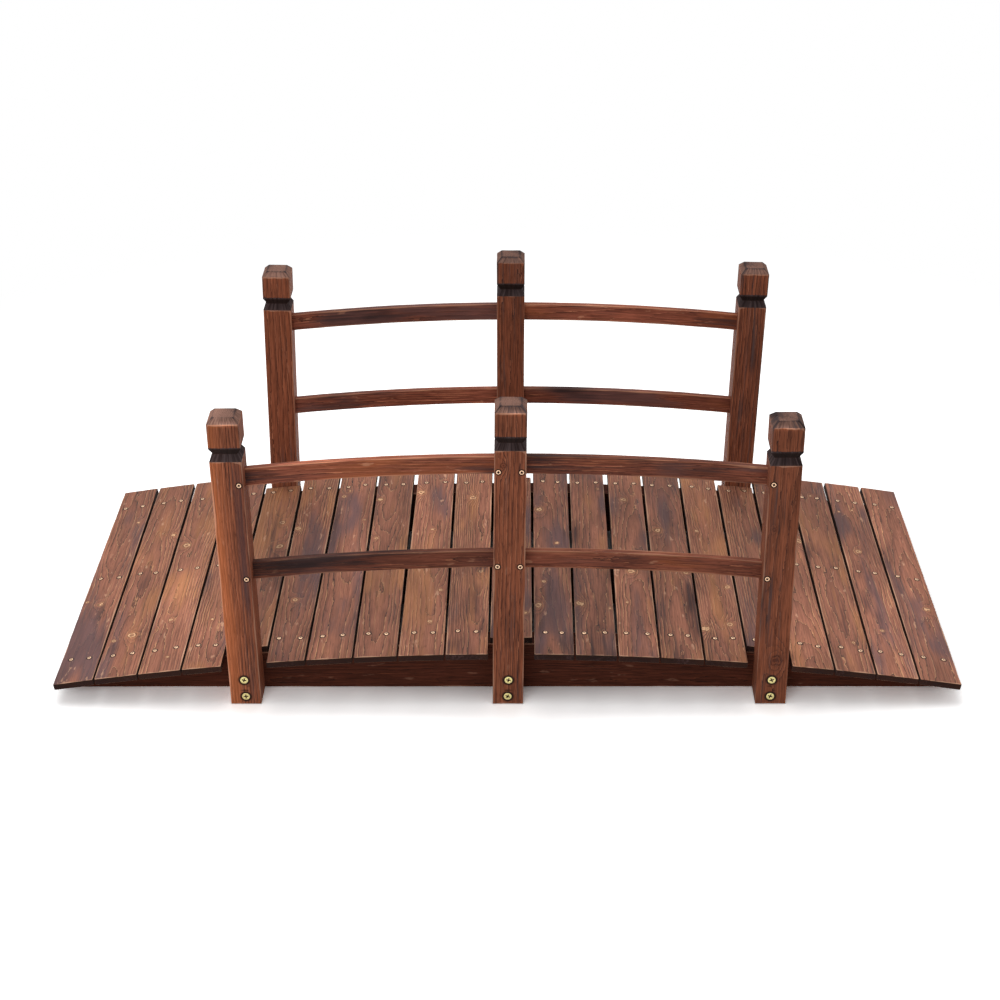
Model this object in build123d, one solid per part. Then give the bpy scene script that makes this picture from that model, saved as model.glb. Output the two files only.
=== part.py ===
"""Moon bridge for a garden: a low arched plank deck on three sawn stringers, with three capped
posts along each side and arched rails let into them.

Millimetres. X runs along the bridge, Y across it and Z up. The origin is on the ground in the
middle of the bridge. The near side is the one at -Y.
"""
import os
from itertools import accumulate
from math import asin, cos, degrees, radians, sin, sqrt, tan

from build123d import *

# Deck
deck_length = 1500.0
deck_width = 675.0
deck_rise = 60.0
plank_thickness = 12.0
plank_edge_chamfer = 1.0

# Room that each plank between two posts takes along the deck, as shares of its stretch.
# The boards were cut by hand, so no two are alike and their two ends differ a little.
near_shares = {
    "before_left": (69, 74, 73, 68),
    "left_to_middle": (66, 78, 73, 77, 72),
    "middle_to_right": (68, 70, 69, 73, 72),
    "after_right": (72, 69, 72, 71),
}
far_shares = {
    "before_left": (68, 73, 74, 69),
    "left_to_middle": (73, 72, 74, 76, 73),
    "middle_to_right": (70, 71, 70, 72, 71),
    "after_right": (72, 72, 72, 69),
}

# Open joints between planks, at the deck's near and far sides. Two of them, counted from the
# left tip, gape at their far end by so much more.
near_joint = 2.2
far_joint = 4.0
first_gaping_joint = 8
first_gape = 3.5
second_gaping_joint = 13
second_gape = 4.5

# Stringers
stringer_depth = 86.0
stringer_thickness = 38.0
stringer_end_setback = 20.0

# Posts. The row of posts stands a little off the middle of the deck.
post_width = 51.0
post_spacing = 434.0
post_row_shift = 3.0
post_corner_chamfer = 1.5
shaft_above_rail = 22.0
neck_groove_height = 22.0
neck_groove_depth = 6.5
cap_height = 51.0
cap_top_chamfer = 9.0

# The posts were sawn by hand, so three of them stand out by a little in height.
near_left_post_excess = 5.0
near_right_post_shortfall = 3.0
far_left_post_shortfall = 3.0

# Lean of each post along the bridge, in degrees, positive towards +X.
post_lean = {
    ("near", "left"): -0.3,
    ("near", "middle"): 0.8,
    ("near", "right"): 0.0,
    ("far", "left"): 1.2,
    ("far", "middle"): 0.4,
    ("far", "right"): 1.4,
}

# Free room in the deck before and after each post, to the middle of the open joint there.
room_before_left_post = 9.5
room_after_left_post = 11.5
room_before_middle_post = 5.5
room_after_middle_post = 16.5
room_before_right_post = 14.5
room_after_right_post = 4.5

# Rails. The heights are from the top of the deck to the top of the rail, at the crown.
upper_rail_height = 350.0
lower_rail_height = 180.0
rail_depth = 31.0
rail_thickness = 12.0
rail_setback = 25.0
rail_arch_radius = 4000.0
rail_edge_chamfer = 1.0
mortise_depth = 16.0
mortise_clearance = 0.3

# Worked out from the sizes above
deck_top = stringer_depth + plank_thickness
seat_radius = ((deck_length / 2) ** 2 + deck_rise ** 2) / (2 * deck_rise)
tip_angle = asin(deck_length / 2 / (seat_radius + plank_thickness))
post_outer_face = deck_width / 2
post_inner_face = post_outer_face - post_width
outward = {"near": -1, "far": 1}
rail_heights = {"upper": upper_rail_height, "lower": lower_rail_height}
gapes = {first_gaping_joint: first_gape, second_gaping_joint: second_gape}
post_places = {
    "left": post_row_shift - post_spacing,
    "middle": post_row_shift,
    "right": post_row_shift + post_spacing,
}
post_room = {
    "left": (room_before_left_post, room_after_left_post),
    "middle": (room_before_middle_post, room_after_middle_post),
    "right": (room_before_right_post, room_after_right_post),
}
post_excess = {
    ("near", "left"): near_left_post_excess,
    ("near", "right"): -near_right_post_shortfall,
    ("far", "left"): -far_left_post_shortfall,
}


def seat_angle(x):
    """Angle on the stringers' top arc at a distance x along the bridge."""
    return asin(x / seat_radius)


def seat_height(x):
    """Height of the stringers' top arc at x."""
    return stringer_depth - seat_radius + sqrt(seat_radius ** 2 - x ** 2)


def rail_crown(level):
    """Height of the top of a rail's arch above the ground."""
    return deck_top + rail_heights[level]


def arch_height(x, crown, inset=0.0):
    """Height at x of the rails' arch, or of the concentric arch that lies inset below it."""
    radius = rail_arch_radius - inset
    return crown - rail_arch_radius + sqrt(radius ** 2 - (x - post_row_shift) ** 2)


def post_axis(side, place, height):
    """Position along the bridge of a leaning post's middle line at a height."""
    return post_places[place] + height * tan(radians(post_lean[side, place]))


def rail_end(side, place, level, towards, grow=0.0):
    """Where a rail ends inside a post. towards is +1 where the rail runs to the +X side of it."""
    height = arch_height(post_places[place], rail_crown(level), rail_depth / 2)
    face = post_width / 2 / cos(radians(post_lean[side, place]))
    return post_axis(side, place, height) + towards * (face - mortise_depth - grow)


def rail(side, level, start_place, end_place, grow=0.0):
    """An arched rail between two posts, or with grow the mortise's hollow that holds its ends."""
    start = rail_end(side, start_place, level, 1, grow)
    end = rail_end(side, end_place, level, -1, grow)
    middle = (start + end) / 2
    crown = rail_crown(level)
    tops = [(x, arch_height(x, crown, -grow)) for x in (start, middle, end)]
    bottoms = [(x, arch_height(x, crown, rail_depth + grow)) for x in (end, middle, start)]
    outline = (
        ThreePointArc(*tops)
        + Line(tops[-1], bottoms[0])
        + ThreePointArc(*bottoms)
        + Line(bottoms[-1], tops[0])
    )
    centre = outward[side] * (post_outer_face - rail_setback - rail_thickness / 2)
    profile = Plane.XZ * make_face(outline)
    return Pos(0, centre, 0) * extrude(profile, rail_thickness / 2 + grow, both=True)


def eased_rail(side, level, start_place, end_place):
    """A rail with its four long arrises taken off."""
    plain = rail(side, level, start_place, end_place)
    arrises = plain.edges().filter_by(GeomType.CIRCLE)
    return chamfer(arrises, rail_edge_chamfer)


def post_outline(shaft_top, foot):
    """Side view of a post with its V neck and chamfered cap, from foot to the cap's top."""
    half = post_width / 2
    cap_bottom = shaft_top + neck_groove_height
    top = cap_bottom + cap_height
    right = [
        (half, foot),
        (half, shaft_top),
        (half - neck_groove_depth, (shaft_top + cap_bottom) / 2),
        (half, cap_bottom),
        (half, top - cap_top_chamfer),
        (half - cap_top_chamfer, top),
    ]
    left = [(-x, z) for x, z in reversed(right)]
    return make_face(Polyline(*right, *left, close=True))


def upright_post(shaft_top):
    """One square post with its head cut on all four sides, standing on the origin."""
    spare_foot = post_width / 10
    top = shaft_top + neck_groove_height + cap_height
    corners = Rectangle(post_width, post_width)
    section = chamfer(corners.vertices(), post_corner_chamfer)
    bar = Pos(0, 0, -spare_foot) * extrude(section, top + spare_foot)
    outline = post_outline(shaft_top, -spare_foot)
    front_cut = extrude(Plane.XZ * outline, post_width / 2, both=True)
    side_cut = extrude(Plane.YZ * outline, post_width / 2, both=True)
    return bar & front_cut & side_cut


def post(side, place):
    """A post in its place, leaning, sawn level at the ground and mortised for its rails."""
    shaft_top = arch_height(post_places[place], rail_crown("upper")) + shaft_above_rail
    shaft_top += post_excess.get((side, place), 0)
    centre = outward[side] * (post_outer_face - post_width / 2)
    leaning = Pos(post_places[place], centre, 0) * Rot(0, post_lean[side, place], 0)
    standing = split(leaning * upright_post(shaft_top), bisect_by=Plane.XY, keep=Keep.TOP)
    for level in rail_heights:
        for start_place, end_place in rail_bays:
            if place in (start_place, end_place):
                standing -= rail(side, level, start_place, end_place, mortise_clearance)
    return standing


def stringer(centre):
    """A plank on edge with a flat bottom and an arched top, which the deck is nailed to."""
    end = deck_length / 2 - stringer_end_setback
    end_height = seat_height(end)
    outline = ThreePointArc((-end, end_height), (0, stringer_depth), (end, end_height))
    outline += Polyline((end, end_height), (end, 0), (-end, 0), (-end, end_height))
    profile = Plane.XZ * make_face(outline)
    return Pos(0, centre, 0) * extrude(profile, stringer_thickness / 2, both=True)


def joint_angles(shares):
    """Angles of the deck's two tips and of the middles of all joints between planks."""
    post_bays = {
        place: (
            seat_angle(axis - post_width / 2 - post_room[place][0]),
            seat_angle(axis + post_width / 2 + post_room[place][1]),
        )
        for place, axis in post_places.items()
    }
    stretches = {
        "before_left": (-tip_angle, post_bays["left"][0]),
        "left_to_middle": (post_bays["left"][1], post_bays["middle"][0]),
        "middle_to_right": (post_bays["middle"][1], post_bays["right"][0]),
        "after_right": (post_bays["right"][1], tip_angle),
    }
    angles = []
    for name, (start, end) in stretches.items():
        total = sum(shares[name])
        angles.append(start)
        angles += [start + (end - start) * part / total for part in accumulate(shares[name])]
    return angles


def plank(number, near_angles, far_angles, half_length):
    """A flat board lying on the stringers' arc, cut off at half_length each side of the middle."""
    count = len(near_angles) - 1
    left, right = number - 1, number
    middle = (near_angles[left] + near_angles[right] + far_angles[left] + far_angles[right]) / 4

    def edge(index, sign):
        """Offsets of one long edge from the plank's middle, at the deck's near and far sides."""
        at_tip = index in (0, count)
        near_gap = 0 if at_tip else near_joint
        far_gap = 0 if at_tip else far_joint + gapes.get(index, 0)
        near_end = seat_radius * (near_angles[index] - middle) + sign * near_gap / 2
        far_end = seat_radius * (far_angles[index] - middle) + sign * far_gap / 2
        return near_end, far_end

    def corner(ends, y):
        """Point at y on the straight line between an edge's two ends."""
        share = y / deck_width + 0.5
        return (ends[0] + (ends[1] - ends[0]) * share, y)

    left_edge = edge(left, 1)
    right_edge = edge(right, -1)
    outline = Polyline(
        corner(left_edge, -half_length),
        corner(right_edge, -half_length),
        corner(right_edge, half_length),
        corner(left_edge, half_length),
        close=True,
    )
    board = extrude(make_face(outline), plank_thickness)
    board = chamfer(board.faces().sort_by(Axis.Z)[-1].edges(), plank_edge_chamfer)
    x = seat_radius * sin(middle)
    z = stringer_depth - seat_radius * (1 - cos(middle))
    return Pos(x, 0, z) * Rot(0, degrees(middle), 0) * board


rail_bays = [("left", "middle"), ("middle", "right")]
near_angles = joint_angles(near_shares)
far_angles = joint_angles(far_shares)
shortened = list(accumulate(len(shares) + 1 for shares in near_shares.values()))[:-1]

nodes = {}
for number in range(1, len(near_angles)):
    half_length = post_inner_face if number in shortened else deck_width / 2
    nodes[f"plank_{number:02d}"] = plank(number, near_angles, far_angles, half_length)

outer_stringer = post_inner_face - stringer_thickness / 2
for name, centre in (("near", -outer_stringer), ("middle", 0), ("far", outer_stringer)):
    nodes[f"stringer_{name}"] = stringer(centre)

for side in outward:
    for place in post_places:
        nodes[f"post_{side}_{place}"] = post(side, place)
    for level in rail_heights:
        for bay, (start_place, end_place) in zip(("left", "right"), rail_bays):
            nodes[f"rail_{side}_{bay}_{level}"] = eased_rail(side, level, start_place, end_place)

os.makedirs("parts", exist_ok=True)
for name, solid in nodes.items():
    solid.label = name
    export_step(solid, f"parts/{name}.step")
    print(name, round(solid.volume))
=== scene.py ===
"""Looks of the garden moon bridge: scorched and brushed fir timbers with nail and screw heads.

Metres. X runs along the bridge, Y across it and Z up. Every timber is a finely divided bar that
stands for its CAD node, with worn arrises and an uneven surface. Its points carry the growth
rings, knots, stains and wear of that one piece of wood, and the material of its slot turns them
into colour, roughness and fine relief.

In a timber's own coordinates u runs along the grain, v across it and w through the thickness.
"""

import math

import bpy
import numpy as np
from mathutils import Matrix, Vector


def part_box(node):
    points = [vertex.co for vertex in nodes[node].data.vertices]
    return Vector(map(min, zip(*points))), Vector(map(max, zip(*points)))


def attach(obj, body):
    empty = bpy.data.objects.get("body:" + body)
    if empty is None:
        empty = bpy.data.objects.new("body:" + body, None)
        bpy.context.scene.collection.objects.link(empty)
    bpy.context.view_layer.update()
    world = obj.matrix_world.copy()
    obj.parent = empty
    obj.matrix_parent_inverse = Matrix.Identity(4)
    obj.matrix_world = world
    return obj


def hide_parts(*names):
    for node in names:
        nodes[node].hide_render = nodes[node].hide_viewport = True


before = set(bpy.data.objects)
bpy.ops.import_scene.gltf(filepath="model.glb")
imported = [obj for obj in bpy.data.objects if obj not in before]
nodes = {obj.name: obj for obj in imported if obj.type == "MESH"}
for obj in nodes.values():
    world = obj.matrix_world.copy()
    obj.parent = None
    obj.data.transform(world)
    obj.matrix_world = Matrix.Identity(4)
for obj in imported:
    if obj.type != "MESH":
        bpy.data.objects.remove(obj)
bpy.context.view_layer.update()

MM = 0.001

# Sizes of the carpentry that the boxes of the nodes don't give
DECK_BOARDS = 21
POST_WIDTH = 51 * MM
NECK_HEIGHT = 22 * MM
NECK_DEPTH = 6.5 * MM
CAP_HEIGHT = 51 * MM
CAP_CHAMFER = 9 * MM
# The levels below a post's top where its faces bend: rim, neck's top, middle and foot
BENDS = (CAP_CHAMFER, CAP_HEIGHT, CAP_HEIGHT + NECK_HEIGHT / 2, CAP_HEIGHT + NECK_HEIGHT)
# The foot of a leaning post is sawn level, and its faces turn square over this length
FOOT_BLEND = 50 * MM
RAIL_DEPTH = 31 * MM
# The arch of a rail's upper edge, and where its crown lies along X
RAIL_RADIUS = 4.0
ROW_SHIFT = 3 * MM
# Points this close to an end of a solid belong to that end, and a face that looks up has a
# normal with more than this along Z
TOUCH = 0.1 * MM
LOOKS_UP = 0.9

# Fasteners. A head's size is its radius.
NAIL_HEAD = 3.5 * MM
NAIL_SPREAD = 16 * MM
NAIL_SCATTER = 3 * MM
NAIL_TILT = 5
NAIL_SIDES = 20
RAIL_SCREW_HEAD = 3.8 * MM
RAIL_SCREW_OFFSET = 18 * MM
FOOT_SCREW_HEAD = 6.6 * MM
FOOT_SCREW_HEIGHTS = (15 * MM, 47 * MM)
SCREW_SCATTER = 1 * MM
SCREW_SIDES = 48
# Reach and half width of the arms of a cross recess, in radii of the head
RAIL_SCREW_RECESS = (0.6, 0.24)
FOOT_SCREW_RECESS = (0.56, 0.15)

# Knots of a deck board: the least number and the one above the most, their radii in
# millimetres, the room at both ends, the share of the width that they keep to, and how many
# radii they stay from other knots and nails
KNOT_COUNT = (2, 6)
KNOT_RADII = (2.5, 3.5, 5.0, 6.5)
KNOT_MARGIN = 0.04
KNOT_REACH = 0.85
KNOT_SPACING = 5

# Seeds of the random draws. A deck board's own is its number.
NAIL_SEED, SCREW_SEED = 100, 200
POST_SEED, RAIL_SEED, STRINGER_SEED = 40, 60, 80

# The meshes' steps along u, v and w, the finer cuts beside an arris and those beside a bend
PLANK_STEPS = (8 * MM, 1.6 * MM, 2.4 * MM)
POST_STEPS = (5.5 * MM, 1.8 * MM, 1.8 * MM)
RAIL_STEPS = (5 * MM, 1.5 * MM, 1.5 * MM)
STRINGER_STEPS = (9 * MM, 3 * MM, 4 * MM)
ARRIS_CUTS = (0.5 * MM, 1.2 * MM, 2.2 * MM, 3.6 * MM)
BEND_CUT = 1 * MM

# Lengths along u, v and w over which the wood changes
DRIFT = (0.17, 0.06, 0.06)
WAVE = (0.045, 0.011, 0.011)
WEAR = (0.03, 0.02, 0.02)
NICK = (0.012, 0.01, 0.01)
UNEVEN = (0.09, 0.02, 0.02)
PATCHES = ((0.13, 0.028, 0.028), (0.13, 0.028, 0.028), (0.1, 0.03, 0.03))

# Nicks are the share of their noise over a level. The surface is uneven by a height and sunk by
# about as much, which keeps it within the CAD node, and no rings are brushed out near the ends.
NICK_LEVEL = 0.45
NICK_DEPTH = 5 * MM
UNEVEN_HEIGHT = 0.22 * MM
SUNK = 0.2 * MM
PLAIN_END = 2 * MM

# How the rings swell round a knot: its reach along and across the grain in radii of the knot,
# and the rings that each millimetre of radius adds
SWELL_REACH = (3.4, 1.6)
SWELL = 0.45

# The distance of a feature that isn't there, in its radii
FAR_AWAY = 99.0

# The channels of the tone field, which stains change. The scorch channel also holds painted shade
# on a post's neck.
LIGHT, GREY, SCORCH_AND_SHADE = range(3)

# Features a metre, along u, v and w, of the noises in the materials
STREAK = (6, 210, 210)
FIBRE = (22, 620, 620)
CLOUD = (10, 45, 45)
SPECK = (160, 420, 420)
ZIGZAG = (65, 150, 150)
HAIR = (11, 150, 150)
SCUFF = (28, 90, 90)
METAL_SCUFF = (900, 900, 900)

# The camera of the photograph, fitted to the bridge's corners. Angles are in degrees.
PHOTO_SIDE = 1000
FOCAL_PIXELS = 1975.0
SENSOR = 36
CAMERA_PLACE = (0.0315, -3.0594, 1.8496)
CAMERA_PITCH, CAMERA_YAW, CAMERA_ROLL = 28.298, -0.817, -0.471

# Light: soft boxes by place, side and watts, the point that they face, and the sky's strength
LAMPS = {"overhead": ((-0.3, 0.6, 3.2), 2.6, 48), "front": ((-1.0, -3.4, 1.9), 2.0, 30)}
LAMP_TARGET = (0, 0, 0.15)
DAYLIGHT = 0.45

# The floor, and its colour as it lights the bridge and as the camera sees it. Under the bridge,
# inside an oval of those half axes, the camera sees the first one: painted shade, darker than
# the floor's white, which keeps the joints of the deck dark. Past the reach of the shadow, from
# the one distance to the other, the floor fades to white.
FLOOR_HALF = 20.0
FLOOR_DROP = 0.3 * MM
FLOOR_PALE = 0.5
FLOOR_SEEN = 1.8
UNDER_BRIDGE = (0.8, 0.34)
UNDER_BRIDGE_FADE = (0.7, 1.0)
SHADOW_REACH = (1.0, 1.9)


def colour(red, green, blue):
    """A colour given as a screen shows it, from 0 to 255, as linear red, green, blue and alpha."""
    def linear(value):
        value /= 255
        return value / 12.92 if value <= 0.04045 else ((value + 0.055) / 1.055) ** 2.4
    return (linear(red), linear(green), linear(blue), 1.0)


# Noise

# Odd factors that mix a lattice point's coordinates and the seed into a random number
HASH_AXES = (73856093, 19349663, 83492791)
HASH_SEED = 2654435761
HASH_ROUNDS = (1274126177, 2246822519)
LOW_BITS = np.uint64(0xFFFFFFFF)
# How far each octave's lattice is moved from the last one's
OCTAVE_SHIFT = 7.3


def lattice_noise(points, seed):
    """Smooth noise from -1 to 1 with a feature size of one unit."""
    cell = np.floor(points).astype(np.int64)
    part = points - cell
    part = part * part * (3 - 2 * part)
    total = np.zeros(len(points))
    for corner in np.ndindex(2, 2, 2):
        at = (cell + corner).astype(np.uint64)
        mixed = np.uint64(seed * HASH_SEED % 2 ** 32)
        for axis, factor in enumerate(HASH_AXES):
            mixed = mixed ^ at[:, axis] * np.uint64(factor)
        for factor in HASH_ROUNDS:
            mixed = (mixed ^ mixed >> np.uint64(13)) * np.uint64(factor) & LOW_BITS
        value = (mixed >> np.uint64(8)).astype(float) / 2 ** 23 - 1
        total += value * np.prod(np.where(corner, part, 1 - part), axis=1)
    return total


def cloudy(points, feature, seed, octaves=2):
    """Noise with features of the given lengths along u, v and w, and finer ones in it."""
    total = np.zeros(len(points))
    share = 1.0
    for octave in range(octaves):
        lattice = points / np.array(feature) * 2 ** octave + OCTAVE_SHIFT * octave
        total += share * lattice_noise(lattice, seed)
        share /= 2
    return total / (2 - 2 * share)


# Meshes

def cuts(start, end, step, fine=(), marks=()):
    """Positions about a step apart, with closer ones at fine distances from both ends and on both
    sides of each mark."""
    inner = max(fine, default=0.0)
    count = max(2, round((end - start - 2 * inner) / step))
    kept = [start, end]
    kept += [start + distance for distance in fine] + [end - distance for distance in fine]
    kept += [mark + side for mark in marks for side in (-BEND_CUT, 0, BEND_CUT)]
    spread = np.linspace(start + inner, end - inner, count + 1)
    clear = [x for x in spread if all(abs(x - k) > step / 3 for k in kept)]
    return np.unique(np.round(kept + clear, 7))


def box_surface(u, v, w):
    """Points and outward quads of the surface of a box divided at those cuts."""
    shape = (len(u), len(v), len(w))
    index = np.indices(shape).reshape(3, -1).T
    outside = ((index == 0) | (index == np.array(shape) - 1)).any(axis=1)
    ids = np.full(len(index), -1)
    ids[outside] = np.arange(outside.sum())
    ids = ids.reshape(shape)
    points = np.stack([u[index[:, 0]], v[index[:, 1]], w[index[:, 2]]], axis=1)[outside]
    quads = []
    for axis in range(3):
        for side in (0, -1):
            face = np.take(ids, side, axis=axis)
            ring = [face[:-1, :-1], face[1:, :-1], face[1:, 1:], face[:-1, 1:]]
            quad = np.stack(ring, axis=-1).reshape(-1, 4)
            outward = (side == -1) == (axis != 1)
            quads.append(quad if outward else quad[:, ::-1])
    return points, np.concatenate(quads)


def new_piece(name, points, faces, material):
    """A smooth mesh object of those points and faces, which rides on the bridge's one body."""
    mesh = bpy.data.meshes.new(name)
    mesh.from_pydata(points, [], faces)
    mesh.polygons.foreach_set("use_smooth", [True] * len(mesh.polygons))
    mesh.materials.append(material)
    mesh.update()
    piece = bpy.data.objects.new(name, mesh)
    bpy.context.scene.collection.objects.link(piece)
    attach(piece, "root")
    return piece


def carry(piece, fields):
    """Writes fields, each of three numbers a point, to the piece's mesh."""
    for name, values in fields.items():
        attribute = piece.data.attributes.new(name, "FLOAT_VECTOR", "POINT")
        attribute.data.foreach_set("vector", np.ascontiguousarray(values, np.float32).ravel())


# Timber. Here and below, bar is the description of one piece of wood that fir() returns.

def nearest(points, features):
    """For each point the offset along u and v to its nearest feature, and how far away that is,
    over the feature's radius."""
    best = np.full((len(points), 3), FAR_AWAY)
    for u, v, radius in features:
        offset = (points[:, :2] - (u, v)) / radius
        distance = np.hypot(offset[:, 0], offset[:, 1])
        closer = distance < best[:, 2]
        best[closer] = np.column_stack([offset, distance])[closer]
    return best


def growth_rings(points, bar):
    """Number of growth rings between the pith and each point, swelled round the knots."""
    u, v, w = points.T
    pith_v = bar["pith"][0] + bar["slope"][0] * u
    pith_w = bar["pith"][1] + bar["slope"][1] * u
    radius = np.hypot(v - pith_v, w - pith_w)
    radius += bar["drift"] * cloudy(points, DRIFT, bar["seed"] + 1)
    radius += bar["wavy"] * cloudy(points, WAVE, bar["seed"] + 2, 3)
    rings = radius / bar["ring"]
    along, across = SWELL_REACH
    for at_u, at_v, size in bar["knots"]:
        away = ((u - at_u) / (along * size)) ** 2 + ((v - at_v) / (across * size)) ** 2
        rings += SWELL * size / MM * np.exp(-away)
    return rings


def ring_pace(points, rings, bar):
    """Millimetres from one ring's line to the next, across the grain at each point."""
    ahead = growth_rings(points + (0, 0.5 * MM, 0), bar)
    deeper = growth_rings(points + (0, 0, 0.5 * MM), bar)
    side = np.abs(points[:, 2]) < np.abs(points[:, 2]).max() - 1 * MM
    change = np.where(side, deeper - rings, ahead - rings)
    return np.clip(0.5 / np.maximum(np.abs(change), 1e-6), 1.5, 30)


def stains(box, bar):
    """Lightness, greyness and scorch at each point; on a post's neck the scorch also holds painted
    shade.
    """
    tone = np.tile(np.array(bar["tone"], float), (len(box), 1))
    for channel, amount in enumerate(bar["patchy"]):
        tone[:, channel] += amount * cloudy(box, PATCHES[channel], bar["seed"] + 6 + channel, 3)
    for channel, middle, spread, amount in bar["stains"]:
        away = (((box - np.array(middle)) / np.array(spread)) ** 2).sum(axis=1)
        tone[:, channel] += amount * np.exp(-away)
    for start, end, amount in bar["charred"]:
        tone[(box[:, 0] > start) & (box[:, 0] < end), SCORCH_AND_SHADE] += amount
    return tone


def worn_down(box, inside, side, rings, bar):
    """The box's points with the arrises rounded and chipped and the growth rings brushed out.
    Each point lies inside each pair of faces by so much, and on that side of their middle."""
    wear = cloudy(box, WEAR, bar["seed"] + 3, 3)
    nicks = np.clip(cloudy(box, NICK, bar["seed"] + 4) - NICK_LEVEL, 0, 1)
    easing = (bar["arris"] * (1.1 + 0.6 * wear) + NICK_DEPTH * nicks)[:, None]
    lean = np.clip(easing - inside, 0, None) * side
    reach = np.linalg.norm(lean, axis=1, keepdims=True)
    rounded = box + lean * (np.minimum(easing / reach, 1) - 1)
    relief = UNEVEN_HEIGHT * cloudy(box, UNEVEN, bar["seed"] + 5, 3)
    groove = 1 - np.abs(2 * (rings % 1) - 1)
    relief -= bar["brushed"] * groove * (inside[:, 0] > PLAIN_END)
    return rounded + lean / reach * (relief - SUNK)[:, None]


def timber(node, slot, size, steps, place, bar, straighten=None, marks=()):
    """A worn bar of that length, width and thickness, set by place, that stands for a node."""
    length, width, thickness = size
    u = cuts(0, length, steps[0], ARRIS_CUTS, marks)
    v = cuts(-width / 2, width / 2, steps[1], ARRIS_CUTS)
    w = cuts(-thickness / 2, thickness / 2, steps[2], ARRIS_CUTS[:3])
    box, quads = box_surface(u, v, w)
    half = np.array(size) / 2
    middle = np.array([half[0], 0, 0])
    inside = half - np.abs(box - middle)
    tree = box if straighten is None else straighten(box)
    rings = growth_rings(tree, bar)
    points = place(worn_down(box, inside, np.sign(box - middle), rings, bar))
    first, second, third = (points[quads[:, corner]] for corner in range(3))
    if (first * np.cross(second - first, third - first)).sum() < 0:
        quads = quads[:, ::-1]
    piece = new_piece(f"{node}_timber", points, quads, materials[slot])

    edge = np.sort(inside, axis=1)[:, 1]
    for ridge in bar["ridges"]:
        edge = np.minimum(edge, np.abs(box[:, 0] - ridge))
    normals = np.zeros(len(points) * 3, np.float32)
    piece.data.vertex_normals.foreach_get("vector", normals)
    end_grain_and_shaded_flanks = np.abs(normals.reshape(-1, 3) @ np.array(bar["dark"]))
    # With dark_flanks every face across dark takes the colours of end grain, which on a deck board
    # paints shade on its flanks in the joints.
    if bar["dark_flanks"]:
        end_grain_and_shaded_flanks = 1 - end_grain_and_shaded_flanks
    shows = box[:, 2] * bar["show"] > thickness / 2 - 1 * MM
    carry(piece, {
        "local": box + np.array([bar["seed"] * 1.7 % 9, 0, 0]),
        "field": np.column_stack([rings, edge / MM, end_grain_and_shaded_flanks]),
        "grain": np.column_stack([ring_pace(tree, rings, bar), rings, rings]),
        "knot": nearest(box, bar["knots"]),
        "metal": np.where(shows[:, None], nearest(box, bar["metal"]), FAR_AWAY),
        "tone": stains(box, bar),
    })
    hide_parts(node)


# Materials

class Shader:
    """Short calls that add nodes to one material or world."""

    def __init__(self, owner):
        owner.use_nodes = True
        self.owner = owner
        self.tree = owner.node_tree

    def surface(self, name):
        """A socket of the material's surface."""
        return self.tree.nodes["Principled BSDF"].inputs[name]

    def feed(self, socket, value):
        """Links a node's output to a socket, or sets a plain value on it."""
        if isinstance(value, bpy.types.NodeSocket):
            self.tree.links.new(value, socket)
        else:
            socket.default_value = value

    def add(self, kind, inputs, output=0, **settings):
        """A new node with those inputs, by name or place, and settings. Returns its output."""
        made = self.tree.nodes.new("ShaderNode" + kind)
        for key, value in settings.items():
            setattr(made, key, value)
        for key, value in inputs.items():
            self.feed(made.inputs[key], value)
        return made.outputs[output]

    def math(self, operation, one, other=0.0, clamp=False):
        """One or two numbers combined."""
        return self.add("Math", {0: one, 1: other}, operation=operation, use_clamp=clamp)

    def field(self, name):
        """The vector field of that name and its three numbers."""
        whole = self.add("Attribute", {}, "Vector", attribute_name=name)
        parts = self.tree.nodes.new("ShaderNodeSeparateXYZ")
        self.feed(parts.inputs[0], whole)
        return whole, *parts.outputs

    def noise(self, vector, stretch, detail=2.0, roughness=0.5):
        """Noise from 0 to 1 whose features shrink along each axis as stretch grows."""
        scaled = self.add("VectorMath", {0: vector, 1: stretch}, operation="MULTIPLY")
        inputs = {"Vector": scaled, "Scale": 1.0, "Detail": detail, "Roughness": roughness}
        return self.add("TexNoise", inputs)

    def step(self, value, low, high, start=0.0, end=1.0):
        """A smooth step of value from start at low to end at high."""
        inputs = {0: value, 1: low, 2: high, 3: start, 4: end}
        return self.add("MapRange", inputs, interpolation_type="SMOOTHSTEP")

    def length(self, field, guard):
        """How far the nearest feature is, in its radii. Halfway between two features the offset
        turns round, and a share of the field's own distance guards that line."""
        flat = self.add("CombineXYZ", {0: field[1], 1: field[2], 2: 0.0})
        away = self.add("VectorMath", {0: flat}, "Value", operation="LENGTH")
        return self.math("MAXIMUM", away, self.math("MULTIPLY", field[3], guard))

    def grey(self, value):
        """One number as a grey."""
        return self.add("CombineXYZ", {0: value, 1: value, 2: value})

    def mix(self, share, one, other, blend="MIX"):
        """Two colours mixed by share."""
        inputs = {0: share, 6: one, 7: other}
        return self.add("Mix", inputs, 2, data_type="RGBA", blend_type=blend)


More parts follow.
